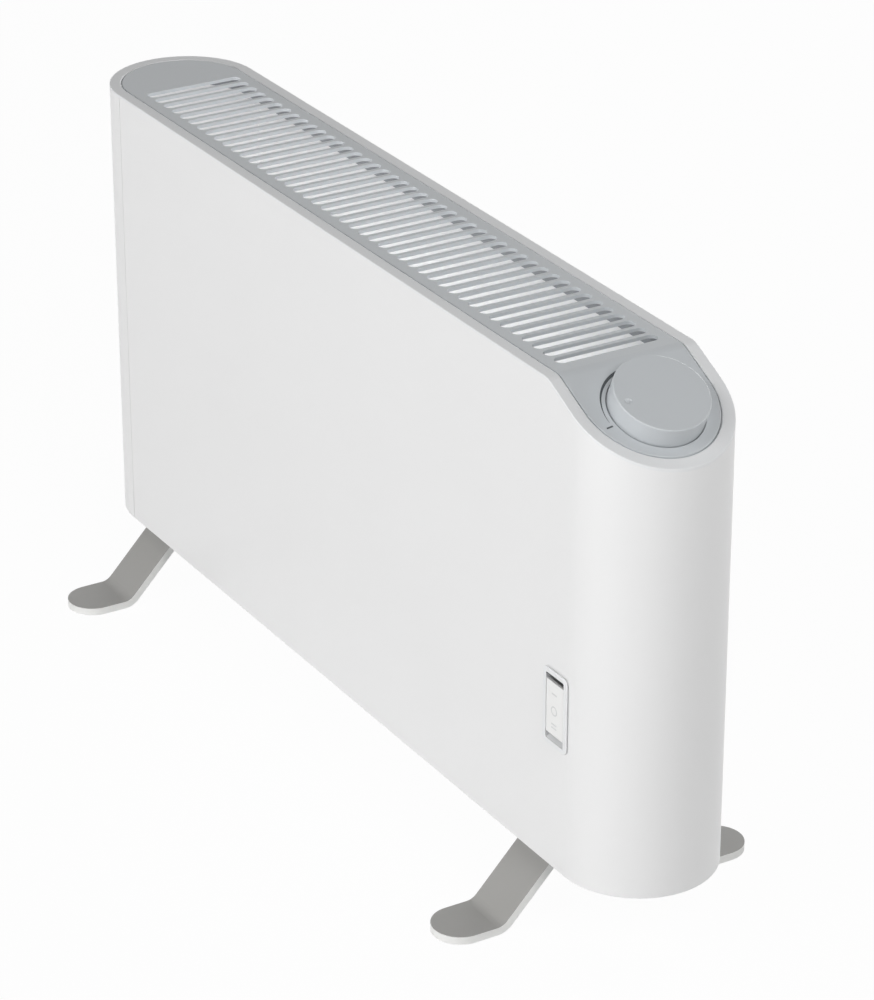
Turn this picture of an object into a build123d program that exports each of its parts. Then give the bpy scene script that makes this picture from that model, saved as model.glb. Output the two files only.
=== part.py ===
from build123d import *
import math
import os

os.makedirs("parts", exist_ok=True)

# Electric panel heater standing on two bent bars, in millimetres.
# X runs along the heater towards the thermostat end, the front faces -Y, the floor is Z = 0.

# Casing sizes
body_length = 554.0
body_depth = 84.0
body_height = 261.7
floor_gap = 40.5
sheet = 1.0
seam_inset = 44.0
seam_gap = 0.3
lap_width = 9.0
lap_sheet = 0.8
bottom_flange = 9.0

# Slope of the control end
slope_angle = 25.6
slope_run = 64.0
bend_radius = 12.0

# Top rim, grille plate and the frame that carries them
rim_width = 6.5
rim_sheet = 1.4
rim_edge = 0.5
groove = 0.5
plate_sheet = 1.8
plate_edge = 0.5
ledge_width = 0.8
ledge_sheet = 1.4
rim_wall = 1.5
frame_wall = 1.2
frame_depth = 16.0
fit = 0.15

# Grille slots
slot_width = 7.2
slot_length = 58.0
slot_pitch = 9.83
slots_from_left_end = 53.7
slots_from_crease = 13.3
locator_length = 8.0
locator_width = 1.2
locator_pitch = 78.0

# Thermostat knob and the thermostat under it
knob_down_slope = 33.0
knob_radius = 24.1
knob_height = 11.3
knob_wall = 1.8
knob_top = 2.2
knob_edge = 0.7
knob_gap = 0.6
knob_sink = 2.0
knob_float = 0.4
dimple_from_axis = 19.1
dimple_radius = 1.9
dimple_depth = 0.9
boss_radius = 27.0
boss_sheet = 4.2
shaft_radius = 3.0
shaft_flat = 0.8
shaft_clearance = 0.05
hub_radius = 6.0
bush_radius = 4.5
bush_rise = 3.2
nut_flats = 13.0
nut_height = 2.2
thermostat_side = 32.0
thermostat_depth = 20.6

# Rocker switch on the front
switch_from_right_end = 51.6
switch_above_bottom = 89.5
bezel_width = 21.5
bezel_height = 41.8
bezel_corner = 3.5
bezel_rise = 1.2
bezel_lip = 0.6
bezel_undercut = 1.0
window_width = 15.9
window_height = 36.4
window_corner = 1.0
bezel_wall = 1.05
bezel_tube = 13.0
rocker_side_gap = 0.3
rocker_height = 29.4
rocker_face_drop = 0.1
rocker_end_depth = 2.1
ramp_rise = 2.0
ramp_depth = 4.0
rocker_hub_radius = 3.4
pivot_depth = 6.0
pivot_radius = 1.5
block_seat = 2.0
switch_block_depth = 14.0
tab_width = 6.3
tab_sheet = 0.8
tab_length = 9.0
tab_pitch = 11.0

# Bent foot bars
foot_width = 30.0
foot_sheet = 4.3
foot_reach = 92.5
foot_bend_y = 61.3
foot_angle = 46.4
foot_inner_bend = 8.0
foot_top_bend = 4.5
left_foot_inset = 59.0
right_foot_inset = 82.5
foot_screw_span = 24.0
foot_screw_radius = 2.5
foot_head_radius = 4.6
foot_head_height = 2.8
foot_nut_flats = 8.0
foot_nut_height = 4.0
screw_clearance = 0.05

# Base plate with its air inlets
base_sheet = 1.2
inlet_length = 26.0
inlet_width = 5.0
inlet_pitch_x = 32.0
inlet_pitch_y = 9.5
inlet_rows = 5
base_screw_radius = 1.7
base_screw_length = 6.0
base_head_radius = 3.1
base_head_height = 1.6
base_screw_columns = 4
end_screw_inset = 12.0

# Heating element
element_above_base = 71.0
element_height = 70.0
element_half_width = 26.0
element_web = 2.4
fin_sheet = 1.2
fin_pitch = 7.0
rod_spacing = 40.0
rod_radius = 4.1
rod_clearance = 0.05
rod_boss_radius = 6.4
rod_overhang = 12.0
rod_end_gap = 15.0
insulator_radius = 5.6
insulator_length = 9.0
pin_radius = 1.2
pin_length = 6.0
bracket_sheet = 1.5
bracket_arch_half_width = 20.0
bracket_margin = 13.0
element_left_inset = 77.0

# Inner sheets and small electrical pieces
partition_from_crease = 7.0
partition_sheet = 0.8
partition_gap = 0.6
partition_foot = 11.0
shield_sheet = 0.6
shield_air_gap = 7.0
shield_below_top = 83.5
shield_foot = 8.0
grommet_radius = 10.0
cutout_below_top = 86.7
cutout_radius = 7.6
cutout_cap_radius = 9.0
cutout_pole = 5.0
block_length = 28.0
block_width = 20.0
block_height = 16.0
block_pole_pitch = 9.0
block_beyond_switch = 10.6
block_from_back = 28.0
gland_radius = 7.3
gland_bore = 3.8
gland_grip = 8.0
gland_throat = 5.0
gland_flange_radius = 10.0
gland_flange = 3.0
gland_nose = 9.0
gland_nut_flats = 18.0
gland_nut_height = 4.5
gland_above_base = 27.8
cable_hole_above_base = 23.3
grommet_y = 3.0
grommet_above_rod = 3.5
wire_radius = 1.1
wire_bend = 2.8
wire_lane = 6.0
rod_wire_lane = 9.0
link_wire_lane = 7.0
stud_radius = 2.0
stud_height = 6.0

# Places worked out from the sizes
end_radius = body_depth / 2
end_span = body_length - body_depth
half_length = body_length / 2
body_bottom = floor_gap
body_top = body_bottom + body_height
crease_x = half_length - slope_run
seam_x = -half_length + seam_inset
slope = math.radians(slope_angle)
inner_radius = end_radius - sheet
rim_inner_radius = end_radius - rim_width
plate_radius = rim_inner_radius - groove
ledge_radius = plate_radius - ledge_width
base_bottom = body_bottom + sheet
base_top = base_bottom + base_sheet
frame_outer_radius = inner_radius - fit
frame_inner_radius = frame_outer_radius - frame_wall
flange_radius = end_radius - bottom_flange
base_radius = inner_radius - 2 * fit
partition_x = crease_x - partition_from_crease
left_foot_x = -half_length + left_foot_inset
right_foot_x = half_length - right_foot_inset
element_z = base_top + element_above_base
element_left = -half_length + element_left_inset
rod_right = partition_x - rod_end_gap - pin_length
element_right = rod_right - rod_overhang
rod_left = element_left - rod_overhang
rod_z = (element_z - rod_spacing / 2, element_z + rod_spacing / 2)
bracket_x = (rod_left + insulator_length / 2, rod_right - insulator_length / 2)
switch_x = half_length - switch_from_right_end
switch_z = body_bottom + switch_above_bottom
block_x = switch_x + block_beyond_switch
gland_x = end_span / 2 - gland_nut_flats / math.sqrt(3) - 2 * fit
block_y = end_radius - block_from_back
switch_tab_root = bezel_tube - block_seat + switch_block_depth
tab_tip_y = -end_radius + switch_tab_root + tab_length
cutout_z = body_top - cutout_below_top
cutout_y = tab_tip_y + wire_lane
shield_height = body_top - shield_below_top - base_top
gland_z = base_top + gland_above_base
cable_hole_z = base_top + cable_hole_above_base
grommet_z = rod_z[1] + grommet_above_rod

knob_plane = Plane(
    origin=(crease_x + knob_down_slope * math.cos(slope), 0, body_top - knob_down_slope * math.sin(slope)),
    x_dir=(math.cos(slope), 0, -math.sin(slope)),
    z_dir=(math.sin(slope), 0, math.cos(slope)),
)
switch_plane = Plane(origin=(switch_x, -end_radius, switch_z), x_dir=(1, 0, 0), z_dir=(0, -1, 0))
gland_plane = Plane(origin=(gland_x, end_radius, gland_z), x_dir=(-1, 0, 0), z_dir=(0, 1, 0))


def save(builder, name):
    builder.part.label = name
    export_step(builder.part, f"parts/{name}.step")


# Side view of all that lies deeper than the given gap below the flat top and the slope.
def under_top(gap):
    x_bend = crease_x - gap * math.tan(slope / 2)
    z_top = body_top - gap
    x_far = half_length + 3 * bend_radius
    z_far = z_top - (x_far - x_bend) * math.tan(slope)
    z_low = body_bottom - 3 * bend_radius
    corners = [(-x_far, z_low), (-x_far, z_top), (x_bend, z_top), (x_far, z_far), (x_far, z_low)]
    with BuildSketch(Plane.XZ) as outline:
        with BuildLine():
            if gap < bend_radius - 1:
                FilletPolyline(*corners, radius=bend_radius - gap, close=True)
            else:
                Polyline(*corners, close=True)
        make_face()
    return outline.sketch


# Ring with the casing's outline in plan, between two depths below the top.
def top_ring(outer_r, inner_r, upper_gap, lower_gap):
    with BuildPart() as ring:
        with BuildSketch(Plane.XY.offset(body_bottom)):
            SlotCenterToCenter(end_span, 2 * outer_r)
            SlotCenterToCenter(end_span, 2 * inner_r, mode=Mode.SUBTRACT)
        extrude(amount=body_height)
        extrude(under_top(upper_gap), amount=body_depth, both=True, mode=Mode.INTERSECT)
        extrude(under_top(lower_gap), amount=body_depth, both=True, mode=Mode.SUBTRACT)
    return ring.part


# Edges round the outside and inside of a piece's upper side, the flat top and the slope.
def upper_edges(builder):
    edges = builder.faces().filter_by(lambda face: face.normal_at().Z > 0.5).edges()
    return ShapeList(edge for edge in edges if sum(edge.is_same(other) for other in edges) == 1)


# Spots along the casing's bottom flange where it is screwed to the base plate.
def base_screw_spots():
    flange_y = (base_radius + flange_radius) / 2
    first = seam_x + 2 * end_screw_inset
    last = half_length - end_radius - end_screw_inset
    step = (last - first) / (base_screw_columns - 1)
    spots = [(first + i * step, side * flange_y) for i in range(base_screw_columns) for side in (-1, 1)]
    end_angle = math.radians(50)
    for side in (-1, 1):
        x = -end_span / 2 - flange_y * math.cos(end_angle)
        spots.append((x, side * flange_y * math.sin(end_angle)))
    return spots


def foot_screw_spots():
    half = foot_screw_span / 2
    return [(x, side * half) for x in (left_foot_x, right_foot_x) for side in (-1, 1)]


# Casing: one sheet that wraps the front, the thermostat end and the back
with BuildPart() as casing_wrap:
    with BuildSketch(Plane.XY.offset(body_bottom)):
        SlotCenterToCenter(end_span, body_depth)
        SlotCenterToCenter(end_span, 2 * inner_radius, mode=Mode.SUBTRACT)
    extrude(amount=body_height)
    with BuildSketch(Plane.XY.offset(body_bottom)):
        SlotCenterToCenter(end_span, body_depth)
        SlotCenterToCenter(end_span, 2 * flange_radius, mode=Mode.SUBTRACT)
    extrude(amount=sheet)
    extrude(under_top(rim_sheet), amount=body_depth, both=True, mode=Mode.INTERSECT)
    split(bisect_by=Plane.YZ.offset(seam_x + seam_gap / 2), keep=Keep.TOP)
    with BuildSketch(switch_plane):
        Rectangle(window_width + 2 * bezel_wall + 2 * fit, window_height + 2 * bezel_wall + 2 * fit)
    extrude(amount=-2 * sheet, mode=Mode.SUBTRACT)
    with BuildSketch(gland_plane):
        Circle(gland_radius + fit)
    extrude(amount=-2 * sheet, mode=Mode.SUBTRACT)
    with BuildSketch(Plane.XY.offset(body_bottom)):
        with Locations(*[spot for spot in base_screw_spots() if spot[0] > seam_x]):
            Circle(base_screw_radius + screw_clearance)
    extrude(amount=sheet, mode=Mode.SUBTRACT)
save(casing_wrap, "casing_wrap")

# Casing: half-round cover at the other end, with a lap behind the seam
with BuildPart() as left_end_cover:
    with BuildSketch(Plane.XY.offset(body_bottom)):
        SlotCenterToCenter(end_span, body_depth)
        SlotCenterToCenter(end_span, 2 * inner_radius, mode=Mode.SUBTRACT)
    extrude(amount=body_height)
    with BuildSketch(Plane.XY.offset(body_bottom)):
        SlotCenterToCenter(end_span, body_depth)
        SlotCenterToCenter(end_span, 2 * flange_radius, mode=Mode.SUBTRACT)
    extrude(amount=sheet)
    extrude(under_top(rim_sheet), amount=body_depth, both=True, mode=Mode.INTERSECT)
    split(bisect_by=Plane.YZ.offset(seam_x - seam_gap / 2), keep=Keep.BOTTOM)
    lap_low = base_top + lap_width
    lap_high = body_top - frame_depth - lap_width / 3
    with BuildSketch(Plane.XY.offset(lap_low)):
        for side in (-1, 1):
            with Locations((seam_x + lap_width / 4, side * (inner_radius - lap_sheet / 2))):
                Rectangle(1.5 * lap_width, lap_sheet)
    extrude(amount=lap_high - lap_low)
    with BuildSketch(Plane.XY.offset(body_bottom)):
        with Locations(*[spot for spot in base_screw_spots() if spot[0] < seam_x]):
            Circle(base_screw_radius + screw_clearance)
    extrude(amount=sheet, mode=Mode.SUBTRACT)
save(left_end_cover, "left_end_cover")

# Top rim: a flange over the casing's edge, a short wall and the ledge that holds the grille
rim_flange = top_ring(end_radius, rim_inner_radius, 0, rim_sheet)
rim_ledge_wall = top_ring(rim_inner_radius + rim_wall, rim_inner_radius, rim_sheet, plate_sheet + ledge_sheet)
rim_ledge = top_ring(rim_inner_radius + rim_wall, ledge_radius, plate_sheet, plate_sheet + ledge_sheet)
with BuildPart() as top_rim:
    add(rim_flange)
    fillet(upper_edges(top_rim), rim_edge)
    add(rim_ledge_wall)
    add(rim_ledge)
save(top_rim, "top_rim")

# Frame inside the casing's mouth, under the rim
vent_frame_ring = top_ring(frame_outer_radius, frame_inner_radius, rim_sheet, frame_depth)
with BuildPart() as vent_frame:
    add(vent_frame_ring)
save(vent_frame, "vent_frame")

# Grille: plate with the outlet slots, running down the slope as the control panel. Short ribs
# under its edges keep it between the ledges.
slot_zone = crease_x - slots_from_crease + half_length - slots_from_left_end
slot_count = int(slot_zone // slot_pitch) + 1
slot_centre_x = (crease_x - slots_from_crease - half_length + slots_from_left_end) / 2
locator_count = 2 * int((slot_zone / 2) // locator_pitch) + 1
locator_y = ledge_radius - fit - locator_width / 2
with BuildPart() as grille:
    with BuildSketch(Plane.XY.offset(body_bottom)):
        SlotCenterToCenter(end_span, 2 * plate_radius)
    extrude(amount=body_height)
    extrude(under_top(0), amount=body_depth, both=True, mode=Mode.INTERSECT)
    extrude(under_top(plate_sheet), amount=body_depth, both=True, mode=Mode.SUBTRACT)
    fillet(upper_edges(grille), plate_edge)
    with BuildSketch(knob_plane.offset(-boss_sheet)):
        Circle(boss_radius)
    extrude(amount=boss_sheet - plate_sheet / 2)
    with BuildSketch(knob_plane):
        Circle(knob_radius + knob_gap)
    extrude(amount=-knob_sink - knob_float, mode=Mode.SUBTRACT)
    with BuildSketch(knob_plane):
        Circle(bush_radius + fit)
    extrude(amount=-2 * boss_sheet, mode=Mode.SUBTRACT)
    with BuildSketch(Plane.XY.offset(body_top)):
        with Locations((slot_centre_x, 0)):
            with GridLocations(slot_pitch, 1, slot_count, 1):
                SlotOverall(slot_length, slot_width, rotation=90)
    extrude(amount=-2 * plate_sheet, mode=Mode.SUBTRACT)
    with BuildSketch(Plane.XY.offset(body_top - plate_sheet)):
        with Locations((slot_centre_x, 0)):
            with GridLocations(locator_pitch, 2 * locator_y, locator_count, 2):
                Rectangle(locator_length, locator_width)
    extrude(amount=-ledge_sheet)
save(grille, "grille")

# Knob: hollow cap with a hub over the thermostat's shaft and a finger dimple as its pointer
knob_bottom = -knob_sink
hub_bottom = nut_height + 1.0
with BuildPart() as knob:
    with BuildSketch(knob_plane.offset(knob_bottom)):
        Circle(knob_radius)
    extrude(amount=knob_height - knob_bottom)
    fillet(knob.edges().filter_by(GeomType.CIRCLE).sort_by(Axis(knob_plane.origin, knob_plane.z_dir))[-1], knob_edge)
    with BuildSketch(knob_plane.offset(knob_bottom)):
        Circle(knob_radius - knob_wall)
        Circle(hub_radius, mode=Mode.SUBTRACT)
    extrude(amount=knob_height - knob_top - knob_bottom, mode=Mode.SUBTRACT)
    with BuildSketch(knob_plane.offset(knob_bottom)):
        Circle(hub_radius + fit)
    extrude(amount=hub_bottom - knob_bottom, mode=Mode.SUBTRACT)
    with BuildSketch(knob_plane.offset(hub_bottom)):
        Circle(shaft_radius + shaft_clearance)
        with Locations((shaft_radius, 0)):
            Rectangle(2 * shaft_flat, 2 * shaft_radius, mode=Mode.SUBTRACT)
    extrude(amount=knob_height - knob_top - hub_bottom, mode=Mode.SUBTRACT)
    with BuildSketch(knob_plane.offset(knob_height - knob_top)):
        with PolarLocations((knob_radius + hub_radius) / 2, 6, start_angle=30):
            Rectangle(knob_radius - hub_radius - knob_wall / 2, knob_wall / 2)
    extrude(amount=-knob_top)
    dimple_sphere = (dimple_radius**2 + dimple_depth**2) / (2 * dimple_depth)
    with Locations(knob_plane.offset(knob_height + dimple_sphere - dimple_depth)):
        with Locations((0, -dimple_from_axis)):
            Sphere(dimple_sphere, mode=Mode.SUBTRACT)
save(knob, "knob")

# Thermostat: shaft with a flat for the knob
shaft_bottom = -boss_sheet - thermostat_depth / 2
shaft_top = knob_height - knob_top - 0.4
with BuildPart() as thermostat_shaft:
    with BuildSketch(knob_plane.offset(shaft_bottom)):
        Circle(shaft_radius)
    extrude(amount=shaft_top - shaft_bottom)
    with BuildSketch(knob_plane.offset(hub_bottom)):
        with Locations((shaft_radius, 0)):
            Rectangle(2 * shaft_flat + 2 * shaft_clearance, 2 * shaft_radius)
    extrude(amount=shaft_top - hub_bottom, mode=Mode.SUBTRACT)
save(thermostat_shaft, "thermostat_shaft")

# Thermostat: housing with its threaded bush
with BuildPart() as thermostat_body:
    with BuildSketch(knob_plane.offset(-boss_sheet)):
        RectangleRounded(thermostat_side, thermostat_side, 2)
    extrude(amount=-thermostat_depth)
    with BuildSketch(knob_plane.offset(-boss_sheet)):
        Circle(bush_radius)
    extrude(amount=boss_sheet + bush_rise - knob_sink - knob_float)
    with BuildSketch(knob_plane.offset(shaft_bottom - 2 * knob_float)):
        Circle(shaft_radius + shaft_clearance)
    extrude(amount=knob_height - shaft_bottom, mode=Mode.SUBTRACT)
save(thermostat_body, "thermostat_body")

# Thermostat: hexagon nut that clamps the bush to the panel, hidden by the knob
nut_plane = knob_plane.offset(-knob_sink - knob_float)
with BuildPart() as thermostat_nut:
    with BuildSketch(nut_plane):
        RegularPolygon(nut_flats / 2, 6, major_radius=False)
        Circle(bush_radius + screw_clearance, mode=Mode.SUBTRACT)
    extrude(amount=nut_height)
save(thermostat_nut, "thermostat_nut")

# Thermostat: two blade tabs
tab_plane = knob_plane.offset(-boss_sheet - thermostat_depth)
thermostat_tab_x = thermostat_side / 4
with BuildPart() as thermostat_tabs:
    with BuildSketch(tab_plane):
        with Locations((-thermostat_tab_x, cutout_y), (thermostat_tab_x, cutout_y)):
            Rectangle(tab_sheet, tab_width)
    extrude(amount=-tab_length * 0.75)
save(thermostat_tabs, "thermostat_tabs")

# Switch: frame that snaps into the front, its lip standing off the sheet, with a tube behind it
# and a ramp below the rocker
tube_width = window_width + 2 * bezel_wall
tube_height = window_height + 2 * bezel_wall
pivot_plane = Plane(
    origin=(switch_x, pivot_depth - end_radius, switch_z), x_dir=(0, 1, 0), z_dir=(1, 0, 0)
)
with BuildPart() as switch_bezel:
    with BuildSketch(switch_plane.offset(bezel_rise - bezel_lip)):
        RectangleRounded(bezel_width, bezel_height, bezel_corner)
    extrude(amount=bezel_lip)
    fillet(switch_bezel.faces().sort_by(Axis.Y)[0].edges(), bezel_lip / 2)
    with BuildSketch(switch_plane):
        RectangleRounded(
            bezel_width - 2 * bezel_undercut, bezel_height - 2 * bezel_undercut, bezel_corner - bezel_undercut
        )
    extrude(amount=bezel_rise - bezel_lip)
    with BuildSketch(switch_plane):
        Rectangle(tube_width, tube_height)
    extrude(amount=-bezel_tube)
    with BuildSketch(switch_plane.offset(bezel_rise)):
        RectangleRounded(window_width, window_height, window_corner)
    extrude(amount=-bezel_rise - bezel_tube, mode=Mode.SUBTRACT)
    ramp_front = -pivot_depth - bezel_rise + bezel_lip
    ramp_foot = -window_height / 2
    with BuildSketch(pivot_plane):
        with BuildLine():
            Polyline(
                (ramp_front, ramp_foot),
                (ramp_front + ramp_depth, ramp_foot + ramp_rise),
                (ramp_front + ramp_depth, ramp_foot - bezel_wall / 2),
                (ramp_front, ramp_foot - bezel_wall / 2),
                close=True,
            )
        make_face()
    extrude(amount=(window_width + bezel_wall) / 2, both=True)
    with BuildSketch(pivot_plane):
        Circle(pivot_radius + screw_clearance / 5)
    extrude(amount=tube_width, both=True, mode=Mode.SUBTRACT)
    clip_back = 2.5 * sheet
    with BuildSketch(switch_plane.offset(-sheet - fit)):
        with Locations((0, tube_height / 2), (0, -tube_height / 2)):
            Rectangle(window_width / 2, 2 * bezel_wall)
        Rectangle(window_width, window_height, mode=Mode.SUBTRACT)
    extrude(amount=-clip_back)
save(switch_bezel, "switch_bezel")

# Switch: rocker with its hub bored for the pivot pin
rocker_width = window_width - 2 * rocker_side_gap
rocker_face = -(pivot_depth + bezel_rise - rocker_face_drop)
rocker_back = rocker_face + rocker_end_depth
with BuildPart() as rocker:
    with BuildSketch(pivot_plane):
        with BuildLine():
            Polyline(
                (rocker_face, -rocker_height / 2),
                (rocker_back, -rocker_height / 2 + 0.4),
                (rocker_hub_radius / 2, -rocker_hub_radius),
                (rocker_hub_radius / 2, rocker_hub_radius),
                (rocker_back, rocker_height / 2 - 0.4),
                (rocker_face, rocker_height / 2),
                close=True,
            )
        make_face()
        Circle(rocker_hub_radius)
        Circle(pivot_radius + shaft_clearance, mode=Mode.SUBTRACT)
    extrude(amount=rocker_width / 2, both=True)
    fillet(rocker.faces().sort_by(Axis.Y)[0].edges(), 0.35)
    with BuildSketch(pivot_plane):
        with Locations((rocker_hub_radius + 0.9, 0)):
            Rectangle(3.0, 2.2)
    extrude(amount=1.6, both=True)
save(rocker, "rocker")

# Switch: pin that the rocker turns on
with BuildPart() as rocker_pin:
    with BuildSketch(pivot_plane):
        Circle(pivot_radius)
    extrude(amount=tube_width / 2, both=True)
save(rocker_pin, "rocker_pin")

# Switch: contact block closing the back of the tube
block_front = bezel_tube - block_seat
with BuildPart() as switch_block:
    with BuildSketch(switch_plane.offset(-block_front)):
        RectangleRounded(window_width - fit, window_height - fit, window_corner)
    extrude(amount=-switch_block_depth)
    with BuildSketch(switch_plane.offset(-block_front)):
        Rectangle(5.0, 9.0)
    extrude(amount=-3.5, mode=Mode.SUBTRACT)
save(switch_block, "switch_block")

# Switch: three blade tabs, for low heat, supply and high heat
with BuildPart() as switch_tabs:
    with BuildSketch(switch_plane.offset(-switch_tab_root)):
        with GridLocations(1, tab_pitch, 1, 3):
            Rectangle(tab_width, tab_sheet)
    extrude(amount=-tab_length)
save(switch_tabs, "switch_tabs")


# Feet: flat bar bent into an arch, with round pads
def foot_bar(x):
    rise = math.radians(foot_angle)
    pad_top = foot_sheet
    arch_top = base_bottom
    # Upper side of the bar, from the pad's tip over the bends to the middle
    top_bend_y = foot_bend_y - (arch_top - pad_top) / math.tan(rise)
    upper = [(-foot_reach, pad_top), (-foot_bend_y, pad_top), (-top_bend_y, arch_top)]
    upper += [(top_bend_y, arch_top), (foot_bend_y, pad_top), (foot_reach, pad_top)]
    # Lower side, one bar thickness away
    shift = foot_sheet * math.tan(rise / 2)
    lower = [(foot_reach, 0), (foot_bend_y - shift, 0), (top_bend_y - shift, arch_top - foot_sheet)]
    lower += [(shift - top_bend_y, arch_top - foot_sheet), (shift - foot_bend_y, 0), (-foot_reach, 0)]
    with BuildPart() as bar:
        with BuildSketch(Plane.YZ.offset(x)):
            with BuildLine():
                Polyline(*upper, *lower, close=True)
            make_face()
        extrude(amount=foot_width / 2, both=True)
        across = bar.edges().filter_by(Axis.X)
        for y, z, radius in (
            (foot_bend_y, pad_top, foot_inner_bend),
            (foot_bend_y - shift, 0, foot_inner_bend + foot_sheet),
            (top_bend_y, arch_top, foot_top_bend + foot_sheet),
            (top_bend_y - shift, arch_top - foot_sheet, foot_top_bend),
        ):
            corner = across.filter_by(lambda e: abs(abs(e.center().Y) - y) < 0.01 and abs(e.center().Z - z) < 0.01)
            fillet(corner, radius)
        with BuildSketch(Plane.XY):
            with Locations((x, 0)):
                SlotOverall(2 * foot_reach, foot_width, rotation=90)
        extrude(amount=2 * floor_gap, mode=Mode.INTERSECT)
        with BuildSketch(Plane.XY.offset(arch_top)):
            with Locations((x, foot_screw_span / 2), (x, -foot_screw_span / 2)):
                Circle(foot_screw_radius + screw_clearance)
        extrude(amount=-2 * foot_sheet, mode=Mode.SUBTRACT)
    return bar


for foot_name, foot_x in (("left_foot", left_foot_x), ("right_foot", right_foot_x)):
    save(foot_bar(foot_x), foot_name)

# Base plate with rows of air inlets between the feet
inlet_low = left_foot_x + foot_width / 2 + inlet_length / 2
inlet_high = right_foot_x - foot_width / 2 - inlet_length / 2
inlet_columns = int((inlet_high - inlet_low) // inlet_pitch_x) + 1
with BuildPart() as base_plate:
    with BuildSketch(Plane.XY.offset(base_bottom)):
        SlotCenterToCenter(end_span, 2 * base_radius)
        with Locations(((inlet_low + inlet_high) / 2, 0)):
            with GridLocations(inlet_pitch_x, inlet_pitch_y, inlet_columns, inlet_rows):
                SlotOverall(inlet_length, inlet_width, mode=Mode.SUBTRACT)
        with Locations(*base_screw_spots()):
            Circle(base_screw_radius + screw_clearance, mode=Mode.SUBTRACT)
        with Locations(*foot_screw_spots()):
            Circle(foot_screw_radius + screw_clearance, mode=Mode.SUBTRACT)
    extrude(amount=base_sheet)
save(base_plate, "base_plate")

# Screws through the casing's flange into the base plate
with BuildPart() as base_screws:
    with BuildSketch(Plane.XY.offset(body_bottom - base_head_height)):
        with Locations(*base_screw_spots()):
            Circle(base_head_radius)
    extrude(amount=base_head_height)
    with BuildSketch(Plane.XY.offset(body_bottom)):
        with Locations(*base_screw_spots()):
            Circle(base_screw_radius)
    extrude(amount=base_screw_length)
    with BuildSketch(Plane.XY.offset(body_bottom - base_head_height)):
        with Locations(*base_screw_spots()):
            Rectangle(base_head_radius * 1.2, 0.7)
            Rectangle(0.7, base_head_radius * 1.2)
    extrude(amount=base_head_height / 2, mode=Mode.SUBTRACT)
save(base_screws, "base_screws")

# Bolts that hold the feet
foot_bolt_top = base_top + foot_nut_height + 1.5
with BuildPart() as foot_bolts:
    with BuildSketch(Plane.XY.offset(base_bottom - foot_sheet - foot_head_height)):
        with Locations(*foot_screw_spots()):
            Circle(foot_head_radius)
    extrude(amount=foot_head_height)
    with BuildSketch(Plane.XY.offset(base_bottom - foot_sheet)):
        with Locations(*foot_screw_spots()):
            Circle(foot_screw_radius)
    extrude(amount=foot_bolt_top - base_bottom + foot_sheet)
    with BuildSketch(Plane.XY.offset(base_bottom - foot_sheet - foot_head_height)):
        with Locations(*foot_screw_spots()):
            RegularPolygon(foot_head_radius / 2, 6)
    extrude(amount=foot_head_height * 0.6, mode=Mode.SUBTRACT)
save(foot_bolts, "foot_bolts")

with BuildPart() as foot_nuts:
    with BuildSketch(Plane.XY.offset(base_top)):
        with Locations(*foot_screw_spots()):
            RegularPolygon(foot_nut_flats / 2, 6, major_radius=False)
            Circle(foot_screw_radius + screw_clearance, mode=Mode.SUBTRACT)
    extrude(amount=foot_nut_height)
save(foot_nuts, "foot_nuts")

# Finned aluminium element with two bores for the heating rods
fin_rows = 2 * int((element_height / 2) // fin_pitch) + 1
with BuildPart() as element_fins:
    with BuildSketch(Plane.YZ.offset(element_left)):
        with Locations((0, element_z)):
            Rectangle(element_web, element_height)
            with GridLocations(1, fin_pitch, 1, fin_rows):
                Rectangle(2 * element_half_width, fin_sheet)
        with Locations(*[(0, z) for z in rod_z]):
            Circle(rod_boss_radius)
        with Locations(*[(0, z) for z in rod_z]):
            Circle(rod_radius + rod_clearance, mode=Mode.SUBTRACT)
    extrude(amount=element_right - element_left)
save(element_fins, "element_fins")

# Heating rods with a terminal pin at each end
for rod_name, z in (("lower_heating_rod", rod_z[0]), ("upper_heating_rod", rod_z[1])):
    with BuildPart() as heating_rod:
        with BuildSketch(Plane.YZ.offset(rod_left)):
            with Locations((0, z)):
                Circle(rod_radius)
        extrude(amount=rod_right - rod_left)
        with BuildSketch(Plane.YZ.offset(rod_left - pin_length)):
            with Locations((0, z)):
                Circle(pin_radius)
        extrude(amount=rod_right - rod_left + 2 * pin_length)
    save(heating_rod, rod_name)

# Ceramic bushes that hold the rod ends in the brackets
with BuildPart() as rod_insulators:
    for x in (rod_left, rod_right - insulator_length):
        with BuildSketch(Plane.YZ.offset(x)):
            with Locations(*[(0, z) for z in rod_z]):
                Circle(insulator_radius)
            with Locations(*[(0, z) for z in rod_z]):
                Circle(rod_radius + rod_clearance, mode=Mode.SUBTRACT)
        extrude(amount=insulator_length)
save(rod_insulators, "rod_insulators")

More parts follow.
